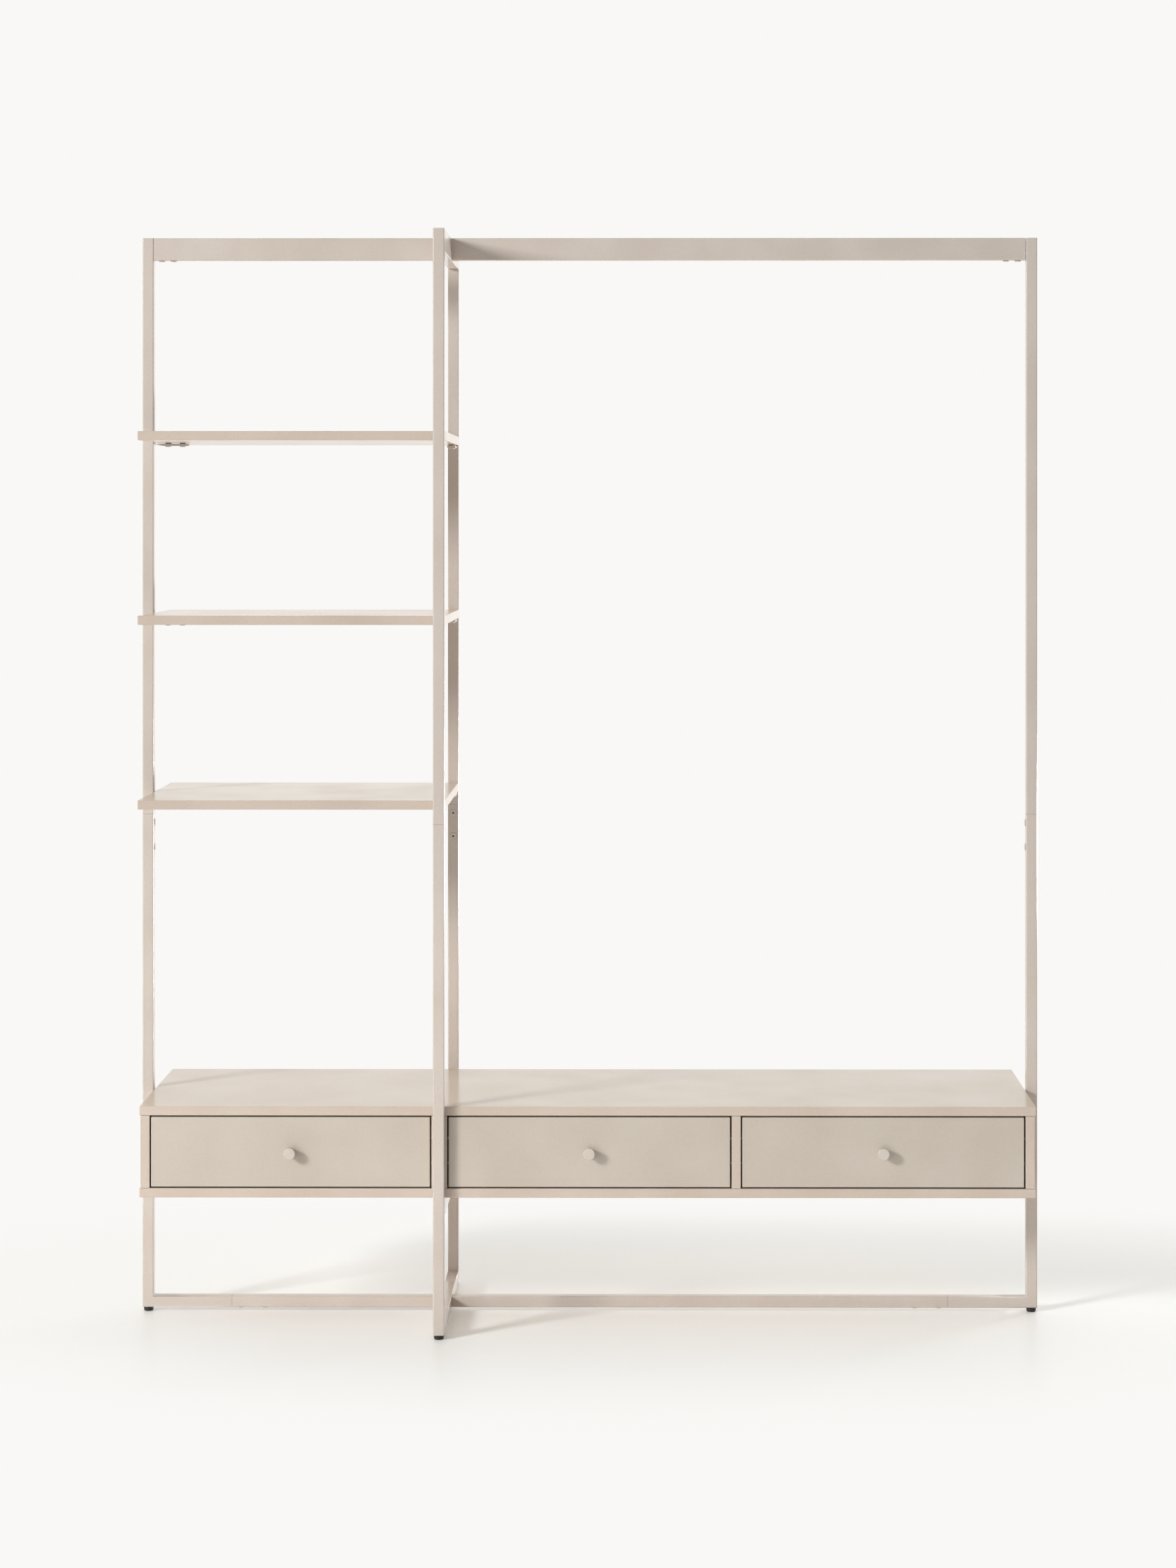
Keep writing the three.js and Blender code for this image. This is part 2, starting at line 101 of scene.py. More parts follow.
def painted(name, colour, roughness, peel, peel_height, edge=None, shine=0.5):
    """A paint film: fine speckle, a slow drift of tone, and orange peel whose ripples are peel metres apart.
    With edge, faces that don't look up or down take that colour, as edge banding does."""
    material = bpy.data.materials.new(name)
    material.use_nodes = True
    tree = material.node_tree
    shader = tree.nodes["Principled BSDF"]
    place = add(tree, "ShaderNodeTexCoord")
    spot = place.outputs["Object"]
    slow = add(tree, "ShaderNodeTexNoise", {"Vector": spot, "Scale": 1 / DRIFT, "Detail": 2.0})
    fine = add(tree, "ShaderNodeTexNoise", {"Vector": spot, "Scale": 1 / SPECKLE, "Detail": 1.0})
    both = add(tree, "ShaderNodeMath", {0: slow.outputs["Fac"], 1: fine.outputs["Fac"]}, operation="ADD")
    amount = add(tree, "ShaderNodeMapRange", {
        "Value": both.outputs[0], "From Min": 0.7, "From Max": 1.3, "To Max": 0.8,
    })
    ground = linear(colour)
    if edge:
        apart = add(tree, "ShaderNodeSeparateXYZ", {0: place.outputs["Normal"]})
        flat = add(tree, "ShaderNodeMath", {0: apart.outputs["Z"]}, operation="ABSOLUTE")
        banded = add(tree, "ShaderNodeMapRange", {"Value": flat.outputs[0], "From Min": 0.5, "From Max": 0.8})
        tone = add(tree, "ShaderNodeMix", {
            0: banded.outputs[0], 6: linear(edge), 7: ground,
        }, data_type="RGBA")
        ground = tone.outputs[2]
    drift = add(tree, "ShaderNodeMix", {
        0: amount.outputs[0], 6: ground, 7: linear("#efece8"),
    }, data_type="RGBA", blend_type="MULTIPLY")
    shader.inputs["Specular IOR Level"].default_value = shine
    gloss = add(tree, "ShaderNodeMapRange", {
        "Value": slow.outputs["Fac"], "From Min": 0.3, "From Max": 0.7,
        "To Min": roughness - 0.03, "To Max": roughness + 0.03,
    })
    tree.links.new(drift.outputs[2], shader.inputs["Base Color"])
    tree.links.new(gloss.outputs[0], shader.inputs["Roughness"])
    if peel_height:
        ripple = add(tree, "ShaderNodeTexNoise", {"Vector": spot, "Scale": 1 / peel, "Detail": 1.5})
        bump = add(tree, "ShaderNodeBump", {
            "Height": ripple.outputs["Fac"], "Distance": peel_height, "Strength": 1.0,
        })
        tree.links.new(bump.outputs["Normal"], shader.inputs["Normal"])
    return material


# Polyester powder coat on mild steel, baked on: satin, with a fine orange peel about 2 mm across.
powder_coat = painted("powder_coated_steel", "#d0c4ba", 0.18, 2.2 * MM, 0.012 * MM)
# Melamine-faced board: a smooth satin film on the flat, and ABS edge banding that is a little pinker.
faced_board = painted("melamine_faced_board", "#d5c5b4", 0.19, 3 * MM, 0, edge="#cdbdaf", shine=0.36)
# Lacquered MDF drawer fronts: sprayed satin lacquer, a touch greener than the carcass.
lacquered_front = painted("lacquered_mdf_front", "#c6bbae", 0.34, 2.6 * MM, 0.012 * MM)
# Turned and lacquered knob: the same lacquer, sprayed lighter.
lacquered_knob = painted("lacquered_knob", "#cdc3b8", 0.36, 1.8 * MM, 0.01 * MM)
# Foil-wrapped board of the drawer boxes: matt paper foil with a dull, even tone.
foil_board = painted("foil_wrapped_drawer_board", "#b9b0a3", 0.55, 4 * MM, 0.01 * MM)
# Near black and dull: painted shade deep in the screws' hexagon sockets, on bare steel that the powder coat
# doesn't reach and that is darker than the coat.
socket_shade = painted("painted_socket_shade", "#4a4138", 0.5, 1 * MM, 0.01 * MM)


def zinc():
    """Bright zinc plate on cold-rolled strip: grey metal, drawing lines along Y and a faint cloudy bloom."""
    material = bpy.data.materials.new("bright_zinc_plated_strip")
    material.use_nodes = True
    tree = material.node_tree
    shader = tree.nodes["Principled BSDF"]
    spot = add(tree, "ShaderNodeTexCoord").outputs["Object"]
    stretch = add(tree, "ShaderNodeMapping", {
        "Vector": spot, "Scale": (1 / ZINC_LINE_APART, 1 / ZINC_LINE_LONG, 1 / ZINC_LINE_APART),
    })
    lines = add(tree, "ShaderNodeTexNoise", {"Vector": stretch.outputs[0], "Scale": 1.0, "Detail": 2.0})
    bloom = add(tree, "ShaderNodeTexNoise", {"Vector": spot, "Scale": 1 / BLOOM, "Detail": 3.0})
    tone = add(tree, "ShaderNodeMix", {
        0: bloom.outputs["Fac"], 6: linear("#b3b6ba"), 7: linear("#c6c8c9"),
    }, data_type="RGBA")
    gloss = add(tree, "ShaderNodeMapRange", {"Value": lines.outputs["Fac"], "To Min": 0.28, "To Max": 0.42})
    bump = add(tree, "ShaderNodeBump", {"Height": lines.outputs["Fac"], "Distance": 0.004 * MM})
    tree.links.new(tone.outputs[2], shader.inputs["Base Color"])
    tree.links.new(gloss.outputs[0], shader.inputs["Roughness"])
    tree.links.new(bump.outputs["Normal"], shader.inputs["Normal"])
    shader.inputs["Metallic"].default_value = 1.0
    return material


def glide_plastic():
    """Moulded black polypropylene: a soft sheen over the mould's spark-eroded grain of about 0.6 mm."""
    material = bpy.data.materials.new("moulded_polypropylene")
    material.use_nodes = True
    tree = material.node_tree
    shader = tree.nodes["Principled BSDF"]
    spot = add(tree, "ShaderNodeTexCoord").outputs["Object"]
    grit = add(tree, "ShaderNodeTexNoise", {"Vector": spot, "Scale": 1 / GRIT, "Detail": 2.0})
    tone = add(tree, "ShaderNodeMix", {
        0: grit.outputs["Fac"], 6: linear("#161616"), 7: linear("#262524"),
    }, data_type="RGBA")
    bump = add(tree, "ShaderNodeBump", {"Height": grit.outputs["Fac"], "Distance": 0.03 * MM})
    tree.links.new(tone.outputs[2], shader.inputs["Base Color"])
    tree.links.new(bump.outputs["Normal"], shader.inputs["Normal"])
    shader.inputs["Roughness"].default_value = 0.38
    shader.inputs["IOR"].default_value = 1.49
    return material


zinc_plate = zinc()
black_glide = glide_plastic()


# Mesh code

def rounded_section(across, along, corner, steps=4):
    """The points of a rounded rectangle about the origin, counter-clockwise."""
    points = []
    for quarter, (sx, sy) in enumerate(((1, 1), (-1, 1), (-1, -1), (1, -1))):
        cx = sx * (across / 2 - corner)
        cy = sy * (along / 2 - corner)
        for step in range(steps + 1):
            angle = (quarter + step / steps) * math.pi / 2
            points.append((cx + corner * math.cos(angle), cy + corner * math.sin(angle)))
    return points


def add_skin(shell, rings):
    """A closed skin through rings of points, capped at both ends. A ring of one point is a pole."""
    rows = [[shell.verts.new(point) for point in ring] for ring in rings]
    for row, following in zip(rows, rows[1:]):
        count = max(len(row), len(following))
        for i in range(count):
            k = (i + 1) % count
            corners = []
            for vert in (row[i % len(row)], row[k % len(row)], following[k % len(following)],
                         following[i % len(following)]):
                if vert not in corners:
                    corners.append(vert)
            shell.faces.new(corners)
    for row in (rows[0], rows[-1]):
        if len(row) > 2:
            shell.faces.new(row)


def add_tube(shell, path, normal, in_plane, across, ease=0.3 * MM, corner=TUBE_CORNER, grooves=()):
    """A capped square tube along a path of two or three points, mitred where it turns.
    normal is the direction that the path's plane faces; in_plane is the tube's size in that plane, across the
    other one. Grooves are distances from the start where a seam runs round the tube."""
    groove_half = 0.3 * MM
    groove_deep = 0.35 * MM
    legs = [(b - a).normalized() for a, b in zip(path, path[1:])]
    sides = [leg.cross(normal) for leg in legs]
    stations = [(path[0], sides[0], ease), (path[0] + legs[0] * ease, sides[0], 0)]
    for distance in grooves:
        for shift, share in ((-1, 0), (-0.5, 1), (0.5, 1), (1, 0)):
            spot = path[0] + legs[0] * (distance + shift * groove_half)
            stations.append((spot, sides[0], share * groove_deep))
    for i in range(1, len(legs)):
        mitre = (sides[i - 1] + sides[i]) / (1 + sides[i - 1].dot(sides[i]))
        stations.append((path[i], mitre, 0))
    stations += [(path[-1] - legs[-1] * ease, sides[-1], 0), (path[-1], sides[-1], ease)]
    rings = []
    for centre, side, inset in stations:
        section = rounded_section(in_plane - 2 * inset, across - 2 * inset, corner - inset / 2)
        rings.append([centre + side * u + normal * v for u, v in section])
    add_skin(shell, rings)


def ease_edges(shell, verts, ease, steps):
    """Rounds every edge that meets one of the vertices."""
    edges = {edge for vert in verts for edge in vert.link_edges}
    bmesh.ops.bevel(
        shell, geom=list(edges), offset=ease, offset_type="OFFSET",
        segments=steps, profile=0.5, affect="EDGES",
    )


def add_board(shell, low, high, ease, steps=3):
    """A board between two corners with all its edges eased."""
    size = Vector(high) - Vector(low)
    middle = (Vector(high) + Vector(low)) / 2
    made = bmesh.ops.create_cube(shell, size=1, matrix=Matrix.LocRotScale(middle, None, size))
    ease_edges(shell, made["verts"], ease, steps)


def rim(radius, top, corner, steps=5):
    """Profile points round a rim, from its side to its top."""
    turn = [step / steps * math.pi / 2 for step in range(steps + 1)]
    return [(radius - corner + corner * math.cos(a), top - corner + corner * math.sin(a)) for a in turn]


def add_turned(shell, profile, foot, axis, count=48):
    """A profile of radius and height points, turned about an axis through foot."""
    across = axis.orthogonal().normalized()
    along = axis.cross(across)
    rings = []
    for radius, height in profile:
        if radius == 0:
            rings.append([foot + axis * height])
            continue
        angles = [2 * math.pi * i / count for i in range(count)]
        rings.append([
            foot + axis * height + (across * math.cos(a) + along * math.sin(a)) * radius for a in angles
        ])
    add_skin(shell, rings)


def settled(obj):
    """Applies the modifiers of an object and leaves a plain mesh."""
    bpy.context.view_layer.update()
    evaluated = obj.evaluated_get(bpy.context.evaluated_depsgraph_get())
    mesh = bpy.data.meshes.new_from_object(evaluated)
    mesh.name = obj.name
    obj.modifiers.clear()
    obj.data = mesh


def piece(name, shell, body, material, stands_for=()):
    """A finished piece from mesh code, on its body, in place of its CAD nodes."""
    bmesh.ops.recalc_face_normals(shell, faces=shell.faces)
    for face in shell.faces:
        face.smooth = True
    mesh = bpy.data.meshes.new(name)
    shell.to_mesh(mesh)
    shell.free()
    mesh.materials.append(material)
    obj = bpy.data.objects.new(name, mesh)
    scene.collection.objects.link(obj)
    obj.modifiers.new("flat faces stay flat", "WEIGHTED_NORMAL")
    settled(obj)
    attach(obj, body)
    if stands_for:
        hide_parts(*stands_for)


# Geometry Nodes for what repeats

def new_group(name, inputs):
    """A geometry node group with the named inputs, and the sockets that give them."""
    group = bpy.data.node_groups.new(name, "GeometryNodeTree")
    group.interface.new_socket(name="Geometry", in_out="OUTPUT", socket_type="NodeSocketGeometry")
    group.interface.new_socket(name="Geometry", in_out="INPUT", socket_type="NodeSocketGeometry")
    for label, kind in inputs:
        group.interface.new_socket(name=label, in_out="INPUT", socket_type=kind)
    return group, group.nodes.new("NodeGroupInput").outputs


def screw_group():
    """Turned screw heads with a recess, one on each point, with the head's top towards the point's axis."""
    group, given = new_group("screw_heads", [
        ("Head Diameter", "NodeSocketFloat"),
        ("Head Height", "NodeSocketFloat"),
        ("Head Round", "NodeSocketFloat"),
        ("Recess Width", "NodeSocketFloat"),
        ("Recess Depth", "NodeSocketFloat"),
        ("Recess Sides", "NodeSocketInt"),
        ("Material", "NodeSocketMaterial"),
    ])
    high = given["Head Height"]
    turn = given["Head Round"]
    halved = add(group, "ShaderNodeMath", {0: given["Head Diameter"], 1: 0.5}, operation="MULTIPLY")
    radius = halved.outputs[0]
    half = add(group, "ShaderNodeMath", {0: high, 1: 0.5}, operation="MULTIPLY").outputs[0]
    bar = add(group, "GeometryNodeMeshCylinder", {
        "Vertices": 32, "Side Segments": 6, "Radius": radius, "Depth": high,
    })
    place = add(group, "GeometryNodeInputPosition")
    part = add(group, "ShaderNodeSeparateXYZ", {0: place.outputs[0]})
    above = add(group, "ShaderNodeMath", {0: part.outputs["Z"], 1: half}, operation="SUBTRACT")
    start = add(group, "ShaderNodeMath", {0: above.outputs[0], 1: turn}, operation="ADD")
    share = add(group, "ShaderNodeMath", {0: start.outputs[0], 1: turn}, operation="DIVIDE", use_clamp=True)
    square = add(group, "ShaderNodeMath", {0: share.outputs[0], 1: share.outputs[0]}, operation="MULTIPLY")
    rest = add(group, "ShaderNodeMath", {0: 1.0, 1: square.outputs[0]}, operation="SUBTRACT", use_clamp=True)
    bulge = add(group, "ShaderNodeMath", {0: rest.outputs[0]}, operation="SQRT")
    drop = add(group, "ShaderNodeMath", {0: 1.0, 1: bulge.outputs[0]}, operation="SUBTRACT")
    pull = add(group, "ShaderNodeMath", {0: drop.outputs[0], 1: turn}, operation="MULTIPLY")
    part_of = add(group, "ShaderNodeMath", {0: pull.outputs[0], 1: radius}, operation="DIVIDE")
    narrow = add(group, "ShaderNodeMath", {0: 1.0, 1: part_of.outputs[0]}, operation="SUBTRACT").outputs[0]
    x_new = add(group, "ShaderNodeMath", {0: part.outputs["X"], 1: narrow}, operation="MULTIPLY")
    y_new = add(group, "ShaderNodeMath", {0: part.outputs["Y"], 1: narrow}, operation="MULTIPLY")
    z_new = add(group, "ShaderNodeMath", {0: part.outputs["Z"], 1: half}, operation="ADD")
    moved = add(group, "ShaderNodeCombineXYZ", {
        0: x_new.outputs[0], 1: y_new.outputs[0], 2: z_new.outputs[0],
    })
    head = add(group, "GeometryNodeSetPosition", {
        "Geometry": bar.outputs["Mesh"], "Position": moved.outputs[0],
    })
    turns = add(group, "ShaderNodeMath", {0: math.pi, 1: given["Recess Sides"]}, operation="DIVIDE")
    cosine = add(group, "ShaderNodeMath", {0: turns.outputs[0]}, operation="COSINE")
    inner = add(group, "ShaderNodeMath", {0: given["Recess Width"], 1: 0.5}, operation="MULTIPLY")
    corner = add(group, "ShaderNodeMath", {0: inner.outputs[0], 1: cosine.outputs[0]}, operation="DIVIDE")
    twice = add(group, "ShaderNodeMath", {0: given["Recess Depth"], 1: 2.0}, operation="MULTIPLY")
    key = add(group, "GeometryNodeMeshCylinder", {
        "Vertices": given["Recess Sides"], "Radius": corner.outputs[0], "Depth": twice.outputs[0],
    })
    lift = add(group, "ShaderNodeCombineXYZ", {2: high})
    raised = add(group, "GeometryNodeSetPosition", {
        "Geometry": key.outputs["Mesh"], "Offset": lift.outputs[0],
    })
    hollow = add(group, "GeometryNodeMeshBoolean", {
        0: head.outputs[0], 1: raised.outputs[0],
    }, operation="DIFFERENCE")
    axis = add(group, "GeometryNodeInputNamedAttribute", {"Name": "axis"}, data_type="FLOAT_VECTOR")
    aim = add(group, "FunctionNodeAlignRotationToVector", {"Vector": axis.outputs["Attribute"]}, axis="Z")
    heads = add(group, "GeometryNodeInstanceOnPoints", {
        "Points": given["Geometry"], "Instance": hollow.outputs[0], "Rotation": aim.outputs[0],
    })
    real = add(group, "GeometryNodeRealizeInstances", {0: heads.outputs[0]})
    smooth = add(group, "GeometryNodeSetShadeSmooth", {0: real.outputs[0]})
    coated = add(group, "GeometryNodeSetMaterial", {0: smooth.outputs[0], "Material": given["Material"]})
    add(group, "NodeGroupOutput", {0: coated.outputs[0]})
    return group


def weld_group():
    """Overlapping weld ripples along the edges of a mesh, each a flattened drop of its own size."""
    group, given = new_group("weld_ripples", [
        ("Pitch", "NodeSocketFloat"), ("Bead", "NodeSocketFloat"), ("Seed", "NodeSocketInt"),
        ("Material", "NodeSocketMaterial"),
    ])
    line = add(group, "GeometryNodeMeshToCurve", {0: given["Geometry"]})
    spots = add(group, "GeometryNodeResampleCurve", {
        "Curve": line.outputs[0], "Length": given["Pitch"],
    }, mode="LENGTH")
    drop = add(group, "GeometryNodeMeshUVSphere", {"Segments": 10, "Rings": 6, "Radius": given["Bead"]})
    size = add(group, "FunctionNodeRandomValue", {
        0: (0.85, 0.85, 0.7), 1: (1.1, 1.1, 0.9), "Seed": given["Seed"],
    }, data_type="FLOAT_VECTOR")
    beads = add(group, "GeometryNodeInstanceOnPoints", {
        "Points": spots.outputs[0], "Instance": drop.outputs["Mesh"], "Scale": size.outputs[0],
    })
    real = add(group, "GeometryNodeRealizeInstances", {0: beads.outputs[0]})
    smooth = add(group, "GeometryNodeSetShadeSmooth", {0: real.outputs[0]})
    coated = add(group, "GeometryNodeSetMaterial", {0: smooth.outputs[0], "Material": given["Material"]})
    add(group, "NodeGroupOutput", {0: coated.outputs[0]})
    return group


def grown(name, mesh, group, sizes, body, stands_for=()):
    """Runs a node group over a mesh and makes a plain piece of what comes out."""
    obj = bpy.data.objects.new(name, mesh)
    scene.collection.objects.link(obj)
    nodes = obj.modifiers.new(group.name, "NODES")
    nodes.node_group = group
    for socket in group.interface.items_tree:
        if socket.item_type == "SOCKET" and socket.in_out == "INPUT" and socket.name in sizes:
            nodes[socket.identifier] = sizes[socket.name]
    obj.modifiers.new("flat faces stay flat", "WEIGHTED_NORMAL")
    settled(obj)
    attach(obj, body)
    if stands_for:
        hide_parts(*stands_for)


screw_heads = screw_group()
weld_ripples = weld_group()

# Screw heads in millimetres: diameter, height, round, width and depth of the recess, and its number of sides
SPLICE_SCREW = (12, 1.8, 0.5, 3.6, 1.6, 6)
RAIL_SCREW = (11, 1.9, 0.7, 4, 1.4, 6)
PLATE_BOLT = (11, 1.7, 1.0, 4, 1.1, 6)
FRONT_SCREW = (7.5, 1.6, 0.8, 3, 1.0, 4)
RUNNER_SCREW = (6.5, 0.9, 0.5, 2.8, 0.6, 4)


def screws(name, spots, sizes, material, body, stands_for=()):
    """Screw heads at a list of (foot, axis) pairs, of one of the sizes above."""
    mesh = bpy.data.meshes.new(name)
    mesh.from_pydata([foot for foot, _ in spots], [], [])
    axes = mesh.attributes.new("axis", "FLOAT_VECTOR", "POINT")
    for i, (_, axis) in enumerate(spots):
        axes.data[i].vector = axis
    labels = ("Head Diameter", "Head Height", "Head Round", "Recess Width", "Recess Depth")
    values = {label: size * MM for label, size in zip(labels, sizes)}
    values["Recess Sides"] = sizes[5]
    values["Material"] = material
    grown(name, mesh, screw_heads, values, body, stands_for)


# Posts, each a split tube that turns into the foot rail at its lower end

POSTS = {
    "left": (Vector((-POST_X, 0, 0)), X_AXIS, END_SEAM),
    "right": (Vector((POST_X, 0, 0)), -X_AXIS, END_SEAM),
    "front": (Vector((CENTRE_X, -POST_Y, 0)), Y_AXIS, CROSS_SEAM),
    "rear": (Vector((CENTRE_X, POST_Y, 0)), -Y_AXIS, CROSS_SEAM),
}

for label, (foot, inward, seam) in POSTS.items():
    sideways = Z_AXIS.cross(inward)
    corner = foot + Z_AXIS * FOOT_RAIL_AT
    lower = bmesh.new()
    add_tube(lower, [foot + Z_AXIS * SPLIT, corner, corner + inward * seam], sideways, TUBE, TUBE)
    piece(f"{label}_post_lower_tube", lower, "frame", powder_coat, [f"{label}_post_lower"])
    upper = bmesh.new()
    add_tube(upper, [foot + Z_AXIS * (SPLIT + GAP / 2), foot + Z_AXIS * HEIGHT], sideways, TUBE, TUBE)
    piece(f"{label}_post_upper_tube", upper, "frame", powder_coat, [f"{label}_post_upper"])

# Rails: direction, height, seams from the start and the open joint at the far end
RAILS = {
    "top_rail_left": (X_AXIS, TOP_RAIL, (), 0),
    "top_rail_right": (X_AXIS, TOP_RAIL, (4.0 * MM,), 1.0 * MM),
    "bottom_rail_left": (X_AXIS, TUBE, (), 0),
    "bottom_rail_right": (X_AXIS, TUBE, (5.4 * MM,), 0),
    "top_rail_cross": (Y_AXIS, TOP_RAIL, (), 0),
    "bottom_rail_cross": (Y_AXIS, TUBE, (), 0),
    "bench_rail_cross": (Y_AXIS, BENCH_RAIL, (), 0),
}
for label, (along, tall, seams, joint) in RAILS.items():
    low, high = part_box(label)
    middle = (low + high) / 2
    reach = along * (high - low).dot(along) / 2
    start = middle - reach - along * (GAP if seams else 0)
    end = middle + reach - along * joint
    rail = bmesh.new()
    add_tube(rail, [start, end], Z_AXIS, TUBE, tall, ease=0.15 * MM, grooves=seams)
    piece(f"{label}_tube", rail, "frame", powder_coat, [label])

# Boards, and how far their edges are eased
BOARDS = {
    "shelf_lower": 1.3 * MM,
    "shelf_middle": 1.3 * MM,
    "shelf_upper": 1.3 * MM,
    "bench_top": 1.3 * MM,
    "bench_bottom": 1.3 * MM,
    "bench_side_left": 0.9 * MM,
    "bench_side_right": 0.9 * MM,
    "bench_divider_centre": 0.9 * MM,
    "bench_divider_right": 0.9 * MM,
    "bench_back": 0.5 * MM,
}
for label, ease in BOARDS.items():
    board = bmesh.new()
    add_board(board, *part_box(label), ease)
    piece(f"{label}_board", board, "frame", faced_board, [label])

# Plates under the shelves and the bench, welded to the posts
PLATE_LONG = 63 * MM
PLATE_WIDE = {"left": 18 * MM, "right": 18 * MM, "front": 15 * MM, "rear": 15 * MM}
PLATE_THICK = 3.9 * MM
PLATE_TAPER = 15 * MM
PLATE_TIP = 1.4 * MM
SPACER = 11 * MM
SPACER_HIGH = 1.4 * MM
PLATE_BOLTS = (25 * MM, 51 * MM)
PLATE_EASE = 0.35 * MM
WELD_HALF = 0.46
SPACER_SIDE = [(0, 0), (SPACER / 2 - 0.3 * MM, 0), (SPACER / 2, 0.3 * MM)]
SPACER_TOP = [*rim(SPACER / 2, SPACER_HIGH, 0.4 * MM, 3), (0, SPACER_HIGH)]
shelf_unders = [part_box(f"shelf_{label}")[0].z for label in ("lower", "middle", "upper")]
bench_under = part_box("bench_bottom")[0].z
plate_spots = [(label, under) for label in ("left", "front", "rear") for under in shelf_unders]
plate_spots += [("left", bench_under), ("right", bench_under)]

plates = bmesh.new()
spacers = bmesh.new()
plate_bolts = []
weld_points = []
weld_edges = []
for label, under in plate_spots:
    foot, inward, _ = POSTS[label]
    sideways = Z_AXIS.cross(inward)
    root = foot + inward * TUBE / 2 + Z_AXIS * (under - GAP - SPACER_HIGH)
    outline = [
        (0, 0), (0, -PLATE_TIP), (PLATE_TAPER, -PLATE_THICK), (PLATE_LONG, -PLATE_THICK), (PLATE_LONG, 0),
    ]
    before = set(plates.verts)
    add_skin(plates, [
        [root + inward * u + Z_AXIS * v + sideways * side * PLATE_WIDE[label] / 2 for u, v in outline]
        for side in (-1, 1)
    ])
    ease_edges(plates, [vert for vert in plates.verts if vert not in before], PLATE_EASE, 2)
    for reach in PLATE_BOLTS:
        spot = root + inward * reach
        add_turned(spacers, SPACER_SIDE + SPACER_TOP, spot, Z_AXIS, 32)
        plate_bolts.append((spot - Z_AXIS * PLATE_THICK, -Z_AXIS))
    for drop in (0, PLATE_TIP):
        at = root - Z_AXIS * drop
        aside = sideways * WELD_HALF * PLATE_WIDE[label]
        weld_edges.append((len(weld_points), len(weld_points) + 1))
        weld_points += [at + aside, at - aside]
piece("shelf_and_bench_plates", plates, "frame", powder_coat)
piece("plate_spacers", spacers, "frame", powder_coat)
weld_mesh = bpy.data.meshes.new("plate_welds")
weld_mesh.from_pydata(weld_points, weld_edges, [])
grown("plate_welds", weld_mesh, weld_ripples, {
    "Pitch": 1.1 * MM, "Bead": 1.2 * MM, "Seed": 4, "Material": powder_coat,
}, "frame")
screws("plate_bolt_heads", plate_bolts, PLATE_BOLT, powder_coat, "frame")

# Screws at the splits of the posts, with a dark disc at the bottom of each socket as painted shade
SCREWS_PAST = (16 * MM, 59 * MM)
DISC_RADIUS = 1.75 * MM
DISC_LOW = 0.15 * MM
DISC_HIGH = 0.3 * MM
DISC = [(0, DISC_LOW), (DISC_RADIUS, DISC_LOW), (DISC_RADIUS, DISC_HIGH), (0, DISC_HIGH)]
splice_spots = []
for foot, inward, _ in POSTS.values():
    for below in SCREWS_PAST:
        splice_spots.append((foot + inward * (TUBE / 2) + Z_AXIS * (SPLIT - below), inward))
splice_nodes = [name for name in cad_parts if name.startswith("splice_screw")]
screws("splice_screw_heads", splice_spots, SPLICE_SCREW, powder_coat, "frame", splice_nodes)
# Painted shade: a near-black disc on each socket's floor darkens the recess where shade falls
sockets = bmesh.new()
for spot, axis in splice_spots:
    add_turned(sockets, DISC, spot, axis, 24)
piece("splice_screw_socket_shade", sockets, "frame", socket_shade)

# Screws from below, in the top rails by distance from the middle, and in the bottom rails past each seam
TOP_SCREWS_AT = (766 * MM, 745 * MM)
TOP_UNDER = HEIGHT - TOP_RAIL
FOOT_UNDER = FOOT_RAIL_AT - TUBE / 2
rail_spots = []
for side in (-1, 1):
    for reach in TOP_SCREWS_AT:
        rail_spots.append((Vector((side * reach, 0, TOP_UNDER)), -Z_AXIS))
    for past in SCREWS_PAST:
        rail_spots.append((Vector((side * (POST_X - END_SEAM - past), 0, FOOT_UNDER)), -Z_AXIS))
        rail_spots.append((Vector((CENTRE_X, side * (POST_Y - CROSS_SEAM - past), FOOT_UNDER)), -Z_AXIS))
screws("rail_screw_heads", rail_spots, RAIL_SCREW, powder_coat, "frame")

# Feet, by radius and height in millimetres from the floor up
GLIDE = [
    (0, 0), (6.7, 0), (7.7, 0.4), (8.1, 1.1), (8.4, 2.4), (8.9, 5.0),
    (8.6, 5.3), (8.6, 5.8), (9.2, 6.2), (9.3, 7.0), (9.2, 7.6), (0, 7.7),
]
for label, (foot, _, _) in POSTS.items():
    glide = bmesh.new()
    add_turned(glide, [(r * MM, h * MM) for r, h in GLIDE], foot, Z_AXIS)
    piece(f"{label}_glide", glide, "frame", black_glide, [f"foot_{label}"])

